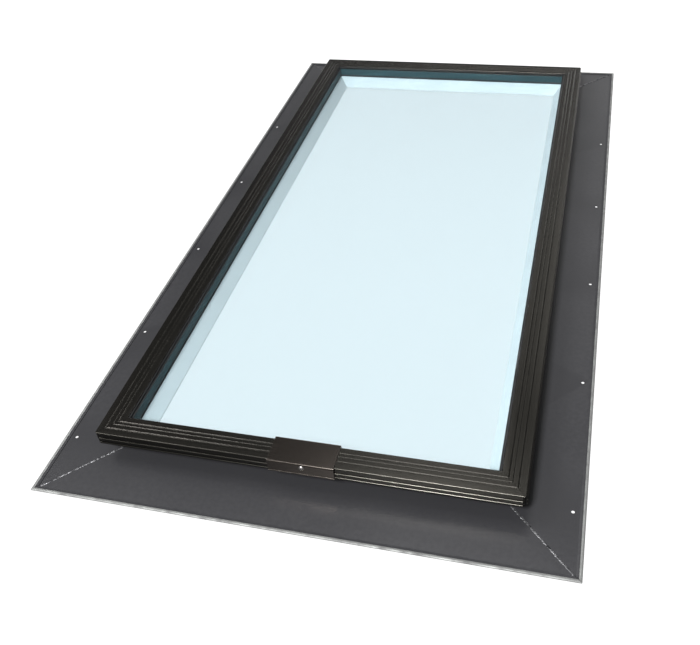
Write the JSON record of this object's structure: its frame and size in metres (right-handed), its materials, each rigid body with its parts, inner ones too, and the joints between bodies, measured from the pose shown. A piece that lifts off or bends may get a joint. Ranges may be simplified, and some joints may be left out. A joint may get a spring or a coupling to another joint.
{
  "type": "fixed roof skylight with flashing pan",
  "caption": "Fixed deck-mounted roof skylight: an insulating glass unit in a ridged dark cap frame over a welded sheet-metal flashing pan with nail holes, with a pale inner liner.",
  "frame": {"origin": "middle of the flashing pan's underside, on the roof deck plane", "axes": "+Z away from the roof deck, through the glass; +Y up the slope, from the sill to the head; +X to the right, seen from the sill"},
  "size_m": [0.7746, 1.3842, 0.0535],
  "materials": {
    "flashing": "satin charcoal coating on aluminium sheet",
    "weld": "bare weld beads, slightly dulled",
    "liner": "white extruded PVC",
    "tape": "black glazing tape",
    "glass": "clear glass with a low-emissivity coating, faint blue cast",
    "spacer": "dull dark spacer bar",
    "key": "mill-finish keys",
    "sealant": "black sealant and rubber blocks",
    "cap": "dark bronze satin coating on aluminium extrusion",
    "gasket": "black rubber",
    "clip": "brown-grey coated sheet with bare cut edges",
    "screw": "plated steel"
  },
  "bodies": {
    "root": {"flashing_sill": "flashing", "flashing_head": "flashing", "flashing_left": "flashing", "flashing_right": "flashing", "weld_sill_left": "weld", "weld_sill_right": "weld", "weld_head_left": "weld", "weld_head_right": "weld", "liner_sill": "liner", "liner_head": "liner", "liner_left": "liner", "liner_right": "liner", "tape_sill": "tape", "tape_head": "tape", "tape_left": "tape", "tape_right": "tape", "inner_pane": "glass", "outer_pane": "glass", "spacer_sill": "spacer", "spacer_head": "spacer", "spacer_left": "spacer", "spacer_right": "spacer", "spacer_key_sill_left": "key", "spacer_key_sill_right": "key", "spacer_key_head_left": "key", "spacer_key_head_right": "key", "butyl_inner": "sealant", "butyl_outer": "sealant", "edge_seal": "sealant", "setting_block_left": "sealant", "setting_block_right": "sealant", "rail_sill": "cap", "rail_head": "cap", "rail_left": "cap", "rail_right": "cap", "corner_key_sill_left": "key", "corner_key_sill_right": "key", "corner_key_head_left": "key", "corner_key_head_right": "key", "gasket_sill": "gasket", "gasket_head": "gasket", "gasket_left": "gasket", "gasket_right": "gasket", "cap_screws": "screw", "sill_clip": "clip", "clip_screw": "screw"}
  },
  "joints": []
}
